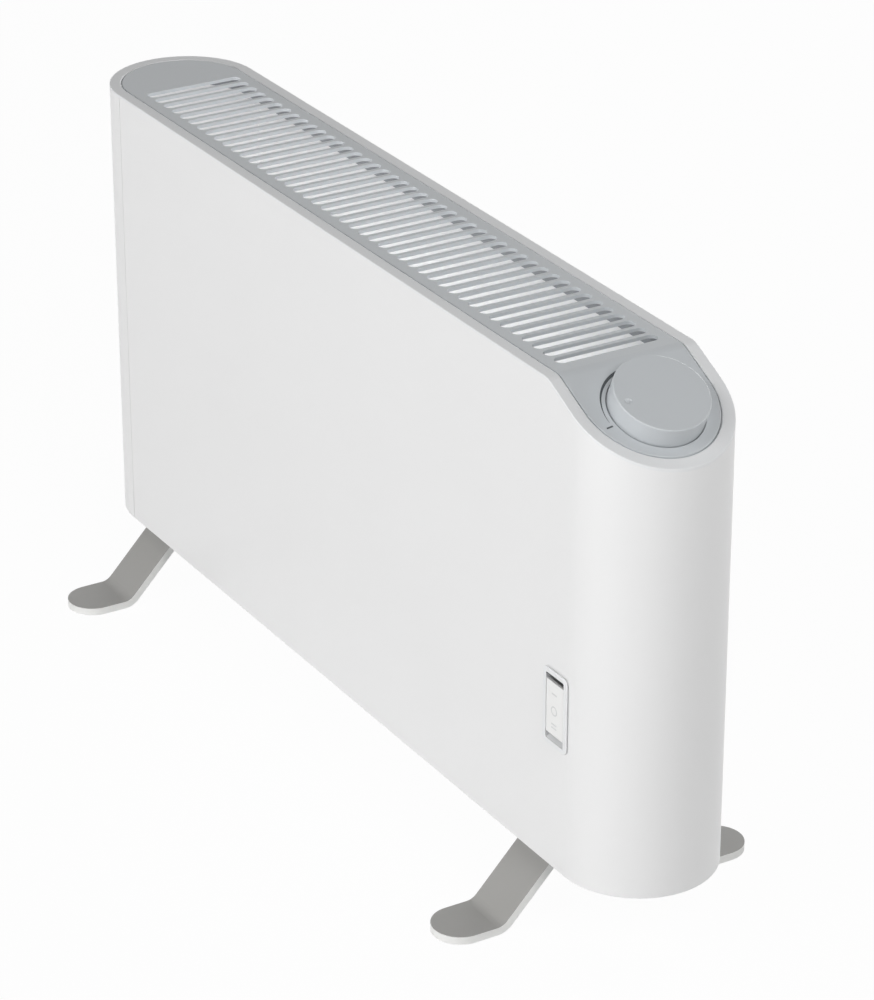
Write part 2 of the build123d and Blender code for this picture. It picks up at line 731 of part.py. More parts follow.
# Sheet brackets under the element's ends
shield_y = inner_radius - shield_air_gap
bracket_half_width = shield_y - shield_sheet - 2 * fit
bracket_top = rod_z[1] + bracket_margin
arch_top_z = element_z - element_height / 2
for bracket_name, x, toward in (
    ("left_element_bracket", bracket_x[0], 1),
    ("right_element_bracket", bracket_x[1], -1),
):
    with BuildPart() as element_bracket:
        with BuildSketch(Plane.YZ.offset(x - bracket_sheet / 2)):
            with Locations((0, (base_top + bracket_top) / 2)):
                Rectangle(2 * bracket_half_width, bracket_top - base_top)
            with Locations((0, (base_top + arch_top_z) / 2)):
                Rectangle(2 * bracket_arch_half_width, arch_top_z - base_top, mode=Mode.SUBTRACT)
            with Locations(*[(0, z) for z in rod_z]):
                Circle(insulator_radius + screw_clearance, mode=Mode.SUBTRACT)
        extrude(amount=bracket_sheet)
        tongue_y = (bracket_half_width + bracket_arch_half_width) / 2
        with BuildSketch(Plane.XY.offset(base_top)):
            with Locations((x + toward * shield_foot / 2, tongue_y), (x + toward * shield_foot / 2, -tongue_y)):
                Rectangle(shield_foot, (bracket_half_width - bracket_arch_half_width) / 2)
        extrude(amount=bracket_sheet)
    save(element_bracket, bracket_name)

# Heat shields between the element and the casing
shield_left = element_left
shield_right = partition_x - 2 * shield_sheet
for shield_name, side in (("front_heat_shield", -1), ("rear_heat_shield", 1)):
    with BuildPart() as heat_shield:
        with BuildSketch(Plane.XY.offset(base_top)):
            with Locations(((shield_left + shield_right) / 2, side * (shield_y - shield_sheet / 2))):
                Rectangle(shield_right - shield_left, shield_sheet)
        extrude(amount=shield_height)
        lip_y = side * (shield_y + shield_foot / 4)
        with BuildSketch(Plane.XY.offset(base_top + base_screw_length)):
            with Locations(((shield_left + shield_right) / 2, lip_y)):
                Rectangle(shield_right - shield_left, shield_foot / 2)
        extrude(amount=shield_sheet)
    save(heat_shield, shield_name)

# Partition between the heating chamber and the control end
partition_low = base_top
partition_high = body_top - frame_depth - partition_gap
partition_half = frame_inner_radius - partition_gap
with BuildPart() as partition:
    with BuildSketch(Plane.YZ.offset(partition_x)):
        with Locations((0, (partition_low + partition_high) / 2)):
            Rectangle(2 * partition_half, partition_high - partition_low)
        with Locations((grommet_y, grommet_z)):
            Circle(grommet_radius, mode=Mode.SUBTRACT)
        with Locations((block_y, cable_hole_z)):
            Circle(3 * wire_radius, mode=Mode.SUBTRACT)
        with Locations((cutout_y, cutout_z)):
            Circle(cutout_radius + fit, mode=Mode.SUBTRACT)
    extrude(amount=partition_sheet)
    with BuildSketch(Plane.XY.offset(partition_low)):
        with Locations((partition_x + partition_foot / 2, 0)):
            Rectangle(partition_foot, partition_half)
    extrude(amount=partition_sheet)
save(partition, "partition")

# Rubber grommet round the wires where they cross the partition
with BuildPart() as grommet:
    with BuildSketch(Plane.YZ.offset(partition_x - 1.2)):
        with Locations((grommet_y, grommet_z)):
            Circle(grommet_radius + 1.6)
    extrude(amount=partition_sheet + 2.4)
    with BuildSketch(Plane.YZ.offset(partition_x)):
        with Locations((grommet_y, grommet_z)):
            Circle(grommet_radius + 2)
            Circle(grommet_radius - screw_clearance, mode=Mode.SUBTRACT)
    extrude(amount=partition_sheet, mode=Mode.SUBTRACT)
    with BuildSketch(Plane.YZ.offset(partition_x - 1.2)):
        with Locations((grommet_y, grommet_z)):
            Circle(grommet_radius - 1.5)
    extrude(amount=partition_sheet + 2.4, mode=Mode.SUBTRACT)
save(grommet, "grommet")

# Overheat cut-out set in the partition, its cap towards the element
cutout_back = partition_x + partition_sheet + 8.0
with BuildPart() as overheat_cutout:
    with BuildSketch(Plane.YZ.offset(partition_x - 2.5)):
        with Locations((cutout_y, cutout_z)):
            Circle(cutout_cap_radius)
    extrude(amount=2.5)
    with BuildSketch(Plane.YZ.offset(partition_x)):
        with Locations((cutout_y, cutout_z)):
            Circle(cutout_radius)
    extrude(amount=cutout_back - partition_x)
save(overheat_cutout, "overheat_cutout")

with BuildPart() as cutout_tabs:
    with BuildSketch(Plane.YZ.offset(cutout_back)):
        with Locations((cutout_y, cutout_z - cutout_pole), (cutout_y, cutout_z + cutout_pole)):
            Rectangle(tab_width * 0.75, tab_sheet)
    extrude(amount=tab_length / 2)
save(cutout_tabs, "cutout_tabs")

# Terminal block for the supply
pole_x = (block_x - block_pole_pitch, block_x, block_x + block_pole_pitch)
well_depth = 3.0
with BuildPart() as terminal_block:
    with BuildSketch(Plane.XY.offset(base_top)):
        with Locations((block_x, block_y)):
            Rectangle(block_length, block_width)
    extrude(amount=block_height)
    with BuildSketch(Plane.XY.offset(base_top + block_height)):
        with Locations(*[(x, block_y) for x in pole_x]):
            Circle(wire_radius + fit)
        with Locations(*[(x, block_y + block_width / 3) for x in pole_x]):
            Circle(2 * wire_radius)
    extrude(amount=-well_depth, mode=Mode.SUBTRACT)
save(terminal_block, "terminal_block")

# Gland for the supply cable in the back, narrow where its nose grips the cable, and its nut inside
with BuildPart() as cable_gland:
    with BuildSketch(gland_plane):
        Circle(gland_flange_radius)
    extrude(amount=gland_flange)
    with BuildSketch(gland_plane.offset(gland_flange)):
        Circle(gland_radius)
    extrude(amount=gland_nose - gland_flange, taper=12)
    with BuildSketch(gland_plane):
        Circle(gland_radius)
    extrude(amount=-sheet - gland_nut_height - 1)
    with BuildSketch(gland_plane.offset(gland_nose)):
        Circle(gland_bore)
    extrude(amount=-gland_grip, mode=Mode.SUBTRACT)
    with BuildSketch(gland_plane.offset(gland_nose - gland_grip)):
        Circle(gland_throat)
    extrude(amount=gland_grip - gland_nose - sheet - gland_nut_height - 1, mode=Mode.SUBTRACT)
save(cable_gland, "cable_gland")

with BuildPart() as gland_nut:
    with BuildSketch(gland_plane.offset(-sheet)):
        RegularPolygon(gland_nut_flats / 2, 6, major_radius=False)
        Circle(gland_radius + screw_clearance, mode=Mode.SUBTRACT)
    extrude(amount=-gland_nut_height)
save(gland_nut, "gland_nut")

# Earth stud on the base plate
stud_x = pole_x[2]
stud_y = -block_y
with BuildPart() as earth_stud:
    with BuildSketch(Plane.XY.offset(base_top)):
        with Locations((stud_x, stud_y)):
            RegularPolygon(1.9 * stud_radius, 6, major_radius=False)
    extrude(amount=stud_height / 2)
    with BuildSketch(Plane.XY.offset(base_top)):
        with Locations((stud_x, stud_y)):
            Circle(stud_radius)
    extrude(amount=stud_height)
save(earth_stud, "earth_stud")

# Strip that joins the two rods at the end away from the controls
link_x = rod_left - pin_length + 2.0
with BuildPart() as rod_link:
    with BuildSketch(Plane.YZ.offset(link_x)):
        with Locations((0, element_z)):
            Rectangle(8.0, rod_spacing + 8.0)
        with Locations(*[(0, z) for z in rod_z]):
            Circle(pin_radius + screw_clearance, mode=Mode.SUBTRACT)
    extrude(amount=1.0)
save(rod_link, "rod_link")


# Wires: round, straight runs joined by tangent arcs
def wire(name, points):
    with BuildPart() as run:
        with BuildLine() as route:
            FilletPolyline(*points, radius=wire_bend)
        with BuildSketch(Plane(origin=route.line @ 0, z_dir=route.line % 0)):
            Circle(wire_radius)
        sweep()
    save(run, name)
    return run


pin_tip = rod_right + pin_length
well_z = base_top + block_height - well_depth
cutout_tip = cutout_back + tab_length / 2
rise_lane = cutout_tip + 10.0
thermostat_tip = -boss_sheet - thermostat_depth - tab_length * 0.75
tip_one = knob_plane.from_local_coords(Vector(-thermostat_tab_x, cutout_y, thermostat_tip))
tip_two = knob_plane.from_local_coords(Vector(thermostat_tab_x, cutout_y, thermostat_tip))
drop_lane = pin_tip + rod_wire_lane
high_lane_x = pin_tip + wire_lane
high_lane_y = wire_lane
link_lane_x = link_x - link_wire_lane

wire("supply_wire", [
    (pole_x[1], block_y, well_z),
    (pole_x[1], block_y, cutout_z - cutout_pole),
    (rise_lane, block_y, cutout_z - cutout_pole),
    (rise_lane, cutout_y, cutout_z - cutout_pole),
    (cutout_tip, cutout_y, cutout_z - cutout_pole),
])
wire("cutout_wire", [
    (cutout_tip, cutout_y, cutout_z + cutout_pole),
    (rise_lane, cutout_y, cutout_z + cutout_pole),
    tip_one - knob_plane.z_dir * 14.0,
    tip_one,
])
low_turn = tip_two - knob_plane.z_dir * 12.0
wire("thermostat_wire", [
    tip_two,
    low_turn,
    (low_turn.X, cutout_y, switch_z),
    (switch_x, cutout_y, switch_z),
    (switch_x, tab_tip_y, switch_z),
])
wire("low_heat_wire", [
    (switch_x, tab_tip_y, switch_z + tab_pitch),
    (switch_x, 0, switch_z + tab_pitch),
    (drop_lane, 0, switch_z + tab_pitch),
    (drop_lane, 0, rod_z[0]),
    (pin_tip, 0, rod_z[0]),
])
wire("high_heat_wire", [
    (switch_x, tab_tip_y, switch_z - tab_pitch),
    (switch_x, high_lane_y, switch_z - tab_pitch),
    (switch_x, high_lane_y, rod_z[1]),
    (high_lane_x, high_lane_y, rod_z[1]),
    (high_lane_x, 0, rod_z[1]),
    (pin_tip, 0, rod_z[1]),
])
wire("neutral_wire", [
    (pole_x[0], block_y, well_z),
    (pole_x[0], block_y, cable_hole_z),
    (link_lane_x, block_y, cable_hole_z),
    (link_lane_x, block_y, element_z),
    (link_lane_x, 0, element_z),
    (link_x, 0, element_z),
])
wire("earth_wire", [
    (pole_x[2], block_y, well_z),
    (pole_x[2], block_y, cable_hole_z),
    (stud_x, stud_y, cable_hole_z),
    (stud_x, stud_y, base_top + stud_height),
])
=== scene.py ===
import bmesh
import bpy
import math
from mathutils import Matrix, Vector
from mathutils.bvhtree import BVHTree


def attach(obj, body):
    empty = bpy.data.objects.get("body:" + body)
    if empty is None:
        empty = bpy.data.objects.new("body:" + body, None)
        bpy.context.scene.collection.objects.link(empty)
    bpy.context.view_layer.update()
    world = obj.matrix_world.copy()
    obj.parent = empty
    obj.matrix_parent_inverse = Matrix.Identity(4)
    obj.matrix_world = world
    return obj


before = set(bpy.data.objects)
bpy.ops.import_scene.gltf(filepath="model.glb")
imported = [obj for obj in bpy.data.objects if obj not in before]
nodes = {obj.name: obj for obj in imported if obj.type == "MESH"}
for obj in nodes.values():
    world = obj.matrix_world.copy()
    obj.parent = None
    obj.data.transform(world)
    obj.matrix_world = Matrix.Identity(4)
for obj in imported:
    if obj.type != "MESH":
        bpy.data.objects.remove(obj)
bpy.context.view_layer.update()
print("frame loaded:", len(nodes), "nodes")

scene = bpy.context.scene
mm = 0.001


def linear(hexColour):
    channels = [int(hexColour[i:i + 2], 16) / 255 for i in (1, 3, 5)]
    return [c / 12.92 if c <= 0.04045 else ((c + 0.055) / 1.055) ** 2.4 for c in channels] + [1.0]


# Adds one shader node: settings are its properties or socket values, links are socket: (node, output).
def addNode(tree, kind, settings=None, links=None):
    node = tree.nodes.new(kind)
    for name, value in (settings or {}).items():
        if isinstance(name, str) and name in node.bl_rna.properties:
            setattr(node, name, value)
        else:
            node.inputs[name].default_value = value
    for name, (source, output) in (links or {}).items():
        tree.links.new(source.outputs[output], node.inputs[name])
    return node


def newMaterial(name):
    material = bpy.data.materials.new(name)
    material.use_nodes = True
    material.node_tree.nodes.clear()
    return material, material.node_tree


# Millimetre coordinates that stay on the piece, with stretch to draw a grain out along one axis.
def pieceCoordinates(tree, stretch=(1, 1, 1)):
    source = addNode(tree, "ShaderNodeTexCoord")
    return addNode(tree, "ShaderNodeMapping", {"Scale": [s / mm for s in stretch]},
                   {"Vector": (source, "Object")})


# A finish with a fine grain on it: two close colours, a roughness that drifts, and a bump of real depth.
def grainedMaterial(look):
    material, tree = newMaterial(look["name"])
    place = pieceCoordinates(tree, look.get("stretch", (1, 1, 1)))
    grain = addNode(tree, "ShaderNodeTexNoise",
                    {"Scale": 1 / look["grainMm"], "Detail": 2.0, "Roughness": 0.5},
                    {"Vector": (place, "Vector")})
    drift = addNode(tree, "ShaderNodeTexNoise", {"Scale": 1 / look["driftMm"], "Detail": 1.0},
                    {"Vector": (place, "Vector")})
    colour = addNode(tree, "ShaderNodeMix",
                     {"data_type": "RGBA", 6: linear(look["colour"]), 7: linear(look["colourDrift"])},
                     {0: (drift, "Fac")})
    # Painted light: upright faces get a lighter colour than the tops, standing in for lit sides and shaded
    # tops.
    if "paintedLitSideColour" in look:  # upright faces, such as the sides of a flat bar, are another colour
        slant, steep = look["paintedLitSideLean"]
        facing = addNode(tree, "ShaderNodeTexCoord")
        axes = addNode(tree, "ShaderNodeSeparateXYZ", links={0: (facing, "Normal")})
        lean = addNode(tree, "ShaderNodeMath", {"operation": "ABSOLUTE"}, {0: (axes, "Z")})
        upright = addNode(tree, "ShaderNodeMapRange", {"From Min": slant, "From Max": steep},
                          {"Value": (lean, 0)})
        colour = addNode(tree, "ShaderNodeMix", {"data_type": "RGBA", 7: linear(look["paintedLitSideColour"])},
                         {0: (upright, "Result"), 6: (colour, 2)})
    low, high = look["roughness"]
    gloss = addNode(tree, "ShaderNodeMapRange", {"To Min": low, "To Max": high}, {"Value": (grain, "Fac")})
    bump = addNode(tree, "ShaderNodeBump", {"Distance": look["bumpMm"] * mm}, {"Height": (grain, "Fac")})
    shader = addNode(tree, "ShaderNodeBsdfPrincipled", look["shader"],
                     {"Base Color": (colour, 2), "Roughness": (gloss, "Result"), "Normal": (bump, "Normal")})
    addNode(tree, "ShaderNodeOutputMaterial", links={"Surface": (shader, "BSDF")})
    return material


def finish(material, *names):
    for name in names:
        for slot in nodes[name].material_slots:
            slot.material = material


# Casing: polyester powder coat, baked on, which gives a satin white with a shallow orange peel
# about 2 mm across.
powderCoat = {
    "name": "whitePowderCoatedSteel", "colour": "#EDEDED", "colourDrift": "#EBEBEB",
    "roughness": (0.36, 0.44), "grainMm": 2.2, "driftMm": 60, "bumpMm": 0.006, "shader": {"IOR": 1.5},
}
finish(grainedMaterial(powderCoat), "casing_wrap", "left_end_cover")

# Rim and switch frame: ABS moulded in a spark-eroded tool, which gives an even matt white;
# the real grain of 0.1 mm is drawn at 0.6 mm so that it shows.
rimAbs = {
    "name": "whiteMouldedAbs", "colour": "#EAEBEC", "colourDrift": "#E8E9EA", "roughness": (0.42, 0.5),
    "grainMm": 0.6, "driftMm": 40, "bumpMm": 0.003, "shader": {"IOR": 1.53},
}
finish(grainedMaterial(rimAbs), "top_rim", "switch_bezel")

# Grille and knob: heat-resistant ABS moulded in light grey, with the same fine spark grain.
greyAbs = {
    "name": "greyMouldedAbs", "colour": "#C9CDD0", "colourDrift": "#C6CACD", "roughness": (0.33, 0.41),
    "grainMm": 0.6, "driftMm": 40, "bumpMm": 0.003, "shader": {"IOR": 1.53},
}
finish(grainedMaterial(greyAbs), "grille", "knob")

# Frame under the slots: glass-filled nylon, moulded, dull with a faint fibre mottle; its mid grey is
# partly the nylon's own grey and partly painted shade for the shaded band seen through the slots.
frameNylonAndShade = {
    "name": "greyNylonAndPaintedShade", "colour": "#8F9295", "colourDrift": "#888B8F", "roughness": (0.55, 0.68),
    "grainMm": 0.9, "driftMm": 12, "bumpMm": 0.012, "shader": {"IOR": 1.53},
}
finish(grainedMaterial(frameNylonAndShade), "vent_frame")

# Rocker: polycarbonate moulded in a polished tool, so it is the glossiest white on the heater.
rockerPc = {
    "name": "whitePolishedPolycarbonate", "colour": "#EFEFEE", "colourDrift": "#EDEDEC",
    "roughness": (0.2, 0.26), "grainMm": 3.0, "driftMm": 20, "bumpMm": 0.002, "shader": {"IOR": 1.58},
}
finish(grainedMaterial(rockerPc), "rocker")

# Feet: flat bar, bent and powder coated in warm grey; their upright sides are painted almost white,
# which is painted light, so that the tops read as shaded against them.
footCoat = {
    # the lighter colour of the upright sides is painted light
    "name": "greyPowderCoatedBar", "colour": "#A2A19F", "colourDrift": "#9E9D9A", "paintedLitSideColour": "#EEEEEC",
    "paintedLitSideLean": (0.42, 0.3),  # upward part of the normal where the edge colour starts, and is full
    "roughness": (0.42, 0.52), "grainMm": 1.6, "driftMm": 25, "bumpMm": 0.008, "shader": {"IOR": 1.5},
}
finish(grainedMaterial(footCoat), "left_foot", "right_foot")

# Base, partition and brackets: hot-dip galvanised sheet, bare, with a soft spangle some 8 mm across.
galvanised = {
    "name": "galvanisedSheet", "colour": "#B4B8BA", "colourDrift": "#A6ABAE", "roughness": (0.32, 0.5),
    "grainMm": 2.0, "driftMm": 8, "bumpMm": 0.006, "shader": {"Metallic": 1.0},
}
finish(grainedMaterial(galvanised), "base_plate", "partition",
       "left_element_bracket", "right_element_bracket")

# Screws, bolts and nuts: cold-headed steel, zinc plated bright, with faint drawing marks.
platedSteel = {
    "name": "zincPlatedFastener", "colour": "#C4C7C9", "colourDrift": "#B5B9BD", "roughness": (0.24, 0.36),
    "grainMm": 0.5, "driftMm": 3, "bumpMm": 0.004, "shader": {"Metallic": 1.0},
}
finish(grainedMaterial(platedSteel), "base_screws", "foot_bolts", "foot_nuts", "thermostat_nut", "rocker_pin")

# Heat shields: cold-rolled aluminium, whose rolling marks run along the heater as long fine streaks.
rolledAluminium = {
    "name": "rolledAluminium", "colour": "#CFD1D3", "colourDrift": "#C5C8CA", "roughness": (0.22, 0.38),
    "grainMm": 0.8, "driftMm": 20, "bumpMm": 0.003, "stretch": (0.03, 1, 1), "shader": {"Metallic": 1.0},
}
finish(grainedMaterial(rolledAluminium), "front_heat_shield", "rear_heat_shield")

# Heating element: aluminium extruded round the rods, left mill-finished, with die lines along its length.
extrudedAluminium = {
    "name": "extrudedAluminium", "colour": "#C2C4C6", "colourDrift": "#B6B9BC", "roughness": (0.34, 0.5),
    "grainMm": 0.6, "driftMm": 15, "bumpMm": 0.006, "stretch": (0.02, 1, 1), "shader": {"Metallic": 1.0},
}
finish(grainedMaterial(extrudedAluminium), "element_fins")

# Rods: drawn and annealed stainless tube, browned to a dull grey by heat.
annealedSteel = {
    "name": "annealedStainlessTube", "colour": "#8C867E", "colourDrift": "#6F6A66", "roughness": (0.4, 0.55),
    "grainMm": 0.7, "driftMm": 6, "bumpMm": 0.004, "shader": {"Metallic": 1.0},
}
finish(grainedMaterial(annealedSteel), "lower_heating_rod", "upper_heating_rod", "rod_link")

# Rod ends: steatite, pressed and fired, off-white and chalky with a fine pore.
steatite = {
    "name": "firedSteatite", "colour": "#E6E0D2", "colourDrift": "#DDD6C6", "roughness": (0.6, 0.75),
    "grainMm": 0.4, "driftMm": 3, "bumpMm": 0.01, "shader": {"IOR": 1.56},
}
finish(grainedMaterial(steatite), "rod_insulators")

# Thermostat, switch and cut-out bodies: phenolic resin, compression moulded, near black with a mineral fleck.
phenolic = {
    "name": "mouldedPhenolic", "colour": "#2A2624", "colourDrift": "#37312D", "roughness": (0.32, 0.45),
    "grainMm": 0.5, "driftMm": 1.5, "bumpMm": 0.004, "shader": {"IOR": 1.6},
}
finish(grainedMaterial(phenolic), "thermostat_body", "switch_block", "overheat_cutout")

# Thermostat shaft: free-cutting steel, turned, so the tool leaves fine rings across it.
turnedSteel = {
    "name": "turnedSteel", "colour": "#A9ABAD", "colourDrift": "#999C9F", "roughness": (0.26, 0.36),
    "grainMm": 0.3, "driftMm": 3, "bumpMm": 0.003, "stretch": (0.3, 0.3, 1), "shader": {"Metallic": 1.0},
}
finish(grainedMaterial(turnedSteel), "thermostat_shaft")

# Tabs and earth stud: brass strip, stamped, slightly dulled.
brass = {
    "name": "stampedBrass", "colour": "#C9A961", "colourDrift": "#B8955A", "roughness": (0.28, 0.4),
    "grainMm": 0.5, "driftMm": 2.5, "bumpMm": 0.003, "shader": {"Metallic": 1.0},
}
finish(grainedMaterial(brass), "thermostat_tabs", "switch_tabs", "cutout_tabs", "earth_stud")

# Terminal block: natural polyamide, moulded, milky and waxy, so a little light goes through it.
polyamide = {
    "name": "mouldedPolyamide", "colour": "#E4E1D6", "colourDrift": "#DEDBCE", "roughness": (0.38, 0.48),
    "grainMm": 0.7, "driftMm": 6, "bumpMm": 0.003,
    "shader": {"IOR": 1.53, "Subsurface Weight": 0.2, "Subsurface Radius": (0.002, 0.0018, 0.0014)},
}
finish(grainedMaterial(polyamide), "terminal_block")

# Cable gland: nylon, moulded in the casing's white, with an eggshell surface.
glandNylon = {
    "name": "mouldedNylonGland", "colour": "#E4E4E2", "colourDrift": "#DFDFDD", "roughness": (0.4, 0.5),
    "grainMm": 0.6, "driftMm": 8, "bumpMm": 0.004, "shader": {"IOR": 1.53},
}
finish(grainedMaterial(glandNylon), "cable_gland", "gland_nut")

# Grommet: EPDM rubber, moulded, soft black without a shine.
rubber = {
    "name": "mouldedRubber", "colour": "#1F1F1F", "colourDrift": "#262626", "roughness": (0.62, 0.75),
    "grainMm": 0.5, "driftMm": 4, "bumpMm": 0.005, "shader": {"IOR": 1.52},
}
finish(grainedMaterial(rubber), "grommet")

# Wires: silicone rubber, extruded over the core, with a slight bloom.
# Brown is live, black is switched, blue is neutral.
wireFinish = {
    "roughness": (0.42, 0.55), "grainMm": 0.6, "driftMm": 5, "bumpMm": 0.003, "shader": {"IOR": 1.43},
}
wireColours = {
    "brownExtrudedSilicone": ("#5B3523", "#523020", ["supply_wire", "cutout_wire", "thermostat_wire"]),
    "blackExtrudedSilicone": ("#232323", "#2B2B2B", ["low_heat_wire", "high_heat_wire"]),
    "blueExtrudedSilicone": ("#2C5C9E", "#285591", ["neutral_wire"]),
}
for name, (colour, drift, wires) in wireColours.items():
    finish(grainedMaterial({**wireFinish, "name": name, "colour": colour, "colourDrift": drift}), *wires)

# Earth wire: the same silicone, extruded in two colours, so the eye meets green and yellow in turn,
# drawn here as slanting bands.
earthWire = {
    "name": "greenYellowExtrudedSilicone", "green": "#2E7D3A", "yellow": "#E2C52B", "bandMm": 1.6,
    "halfWave": 0.314,  # width of one band where the wave's scale is 1
    "bandEdge": (0.46, 0.54), "bloomPerMm": 1.6, "roughness": (0.42, 0.55), "shader": {"IOR": 1.43},
}


def stripedMaterial(look):
    material, tree = newMaterial(look["name"])
    place = pieceCoordinates(tree)
    bands = addNode(tree, "ShaderNodeTexWave",
                    {"bands_direction": "DIAGONAL", "Scale": look["halfWave"] / look["bandMm"]},
                    {"Vector": (place, "Vector")})
    start, end = look["bandEdge"]
    edge = addNode(tree, "ShaderNodeMapRange", {"From Min": start, "From Max": end},
                   {"Value": (bands, "Fac")})
    colour = addNode(tree, "ShaderNodeMix",
                     {"data_type": "RGBA", 6: linear(look["green"]), 7: linear(look["yellow"])},
                     {0: (edge, "Result")})
    bloom = addNode(tree, "ShaderNodeTexNoise", {"Scale": look["bloomPerMm"]},
                    {"Vector": (place, "Vector")})
    low, high = look["roughness"]
    gloss = addNode(tree, "ShaderNodeMapRange", {"To Min": low, "To Max": high}, {"Value": (bloom, "Fac")})
    shader = addNode(tree, "ShaderNodeBsdfPrincipled", look["shader"],
                     {"Base Color": (colour, 2), "Roughness": (gloss, "Result")})
    addNode(tree, "ShaderNodeOutputMaterial", links={"Surface": (shader, "BSDF")})
    return material


finish(stripedMaterial(earthWire), "earth_wire")
print("finishes on", len(nodes), "nodes")

dropHeight = 4 * mm  # a point starts this far off a surface and is dropped onto it


# Closed band of ink or moulding between two edge lines on a carrying surface. It stands proud of the
# surface by rise, and is let into it by sink. The lines are points near the surface, and each is
# dropped onto it along the given direction.
def surfaceBand(name, carrier, pairs, direction, rise, sink, loop=False):
    mesh = nodes[carrier].data
    tree = BVHTree.FromPolygons([v.co for v in mesh.vertices], [p.vertices for p in mesh.polygons])
    away = -Vector(direction).normalized()
    corners, faces = [], []
    for pair in pairs:
        for point in pair:
            hit = tree.ray_cast(Vector(point) + away * dropHeight, -away)[0]
            corners += [hit + away * rise, hit - away * sink]
    count = len(pairs)
    for i in range(count if loop else count - 1):
        a, b = 4 * i, 4 * ((i + 1) % count)
        faces += [(a, b, b + 2, a + 2), (a + 1, a + 3, b + 3, b + 1)]
        faces += [(a, a + 1, b + 1, b), (a + 2, b + 2, b + 3, a + 3)]
    if not loop:
        last = 4 * (count - 1)
        faces += [(0, 2, 3, 1), (last, last + 1, last + 3, last + 2)]
    bandMesh = bpy.data.meshes.new(name)
    bandMesh.from_pydata(corners, [], faces)
    bandMesh.validate()
    turned = bmesh.new()  # its faces are turned to look outwards
    turned.from_mesh(bandMesh)
    bmesh.ops.recalc_face_normals(turned, faces=turned.faces)
    turned.to_mesh(bandMesh)
    turned.free()
    band = bpy.data.objects.new(name, bandMesh)
    scene.collection.objects.link(band)
    return band


# Printed scale round the knob: pad-printed ink, dark grey and matt, in a film so thin that the eye
# reads it as flat.
ink = {
    "name": "padPrintedInk", "colour": "#3B4043", "colourDrift": "#42474A", "roughness": (0.5, 0.6),
    "grainMm": 0.3, "driftMm": 4, "bumpMm": 0.001, "shader": {"IOR": 1.5},
}
scale = {"centre": (242.76, 0, 287.941), "across": (0.90183, 0, -0.43209), "out": (0.43209, 0, 0.90183),
         "tickAngle": -82, "tickFrom": 26.7, "tickTo": 30.3, "tickWidth": 0.9,
         "wedgeFrom": -87, "wedgeTo": -250, "wedgeRadius": 27.0, "wedgeSteps": 80,
         "thin": 0.12, "thick": 3.7, "rise": 0.03, "sink": 0.05}


def dialPoint(angle, radius, side=0.0):
    turn = math.radians(angle)
    along = radius * math.cos(turn) - side * math.sin(turn)
    beside = radius * math.sin(turn) + side * math.cos(turn)
    return (Vector(scale["centre"]) + along * Vector(scale["across"]) + beside * Vector((0, 1, 0))) * mm


inkMaterial = grainedMaterial(ink)
halfTick = scale["tickWidth"] / 2
tickPairs = [(dialPoint(scale["tickAngle"], r, -halfTick), dialPoint(scale["tickAngle"], r, halfTick))
             for r in (scale["tickFrom"], scale["tickTo"])]
wedgePairs = []
for step in range(scale["wedgeSteps"] + 1):
    share = step / scale["wedgeSteps"]
    angle = scale["wedgeFrom"] + (scale["wedgeTo"] - scale["wedgeFrom"]) * share
    halfWidth = (scale["thin"] + (scale["thick"] - scale["thin"]) * share) / 2
    wedgePairs.append(tuple(dialPoint(angle, scale["wedgeRadius"] + s * halfWidth) for s in (-1, 1)))
down = -Vector(scale["out"])
for name, pairs in (("scale_tick", tickPairs), ("scale_wedge", wedgePairs)):
    printed = surfaceBand(name, "grille", pairs, down, scale["rise"] * mm, scale["sink"] * mm)
    printed.data.materials.append(inkMaterial)
    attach(printed, "heater")

# Marks on the rocker: polycarbonate moulded as a light grey second shot, in low relief that catches
# a little light. From the top they are one bar, a ring for off, and two bars.
rockerMarks = {"x": 225.1, "y": -44, "barWidth": 4.4, "barHeight": 0.7, "upper": 138.4, "lower": 120.8,
               "lowerGap": 2.0, "ringHeight": 129.3, "ringRadius": 2.6, "ringWidth": 0.6,
               "ringSteps": 40, "rise": 0.12, "sink": 0.2}
markPc = {**rockerPc, "name": "greyMouldedPolycarbonate", "colour": "#D8D9D9", "colourDrift": "#D5D6D6"}
markMaterial = grainedMaterial(markPc)


def rockerBar(height):
    x, y = rockerMarks["x"], rockerMarks["y"]
    halfWidth, halfHeight = rockerMarks["barWidth"] / 2, rockerMarks["barHeight"] / 2
    edges = (height - halfHeight, height + halfHeight)
    return [(Vector((x - halfWidth, y, z)) * mm, Vector((x + halfWidth, y, z)) * mm) for z in edges]


def rockerRing():
    centre = Vector((rockerMarks["x"], rockerMarks["y"], rockerMarks["ringHeight"]))
    radii = (rockerMarks["ringRadius"] - rockerMarks["ringWidth"], rockerMarks["ringRadius"])
    pairs = []
    for step in range(rockerMarks["ringSteps"]):
        turn = 2 * math.pi * step / rockerMarks["ringSteps"]
        spoke = Vector((math.cos(turn), 0, math.sin(turn)))
        pairs.append(tuple((centre + r * spoke) * mm for r in radii))
    return pairs


halfGap = rockerMarks["lowerGap"] / 2
reliefs = {
    "rocker_mark_one": (rockerBar(rockerMarks["upper"]), False),
    "rocker_mark_off": (rockerRing(), True),
    "rocker_mark_two_a": (rockerBar(rockerMarks["lower"] + halfGap), False),
    "rocker_mark_two_b": (rockerBar(rockerMarks["lower"] - halfGap), False),
}
for name, (pairs, loop) in reliefs.items():
    relief = surfaceBand(name, "rocker", pairs, (0, 1, 0), rockerMarks["rise"] * mm,
                         rockerMarks["sink"] * mm, loop)
    relief.data.materials.append(markMaterial)
    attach(relief, "switch_rocker")
print("scale and rocker marks on")


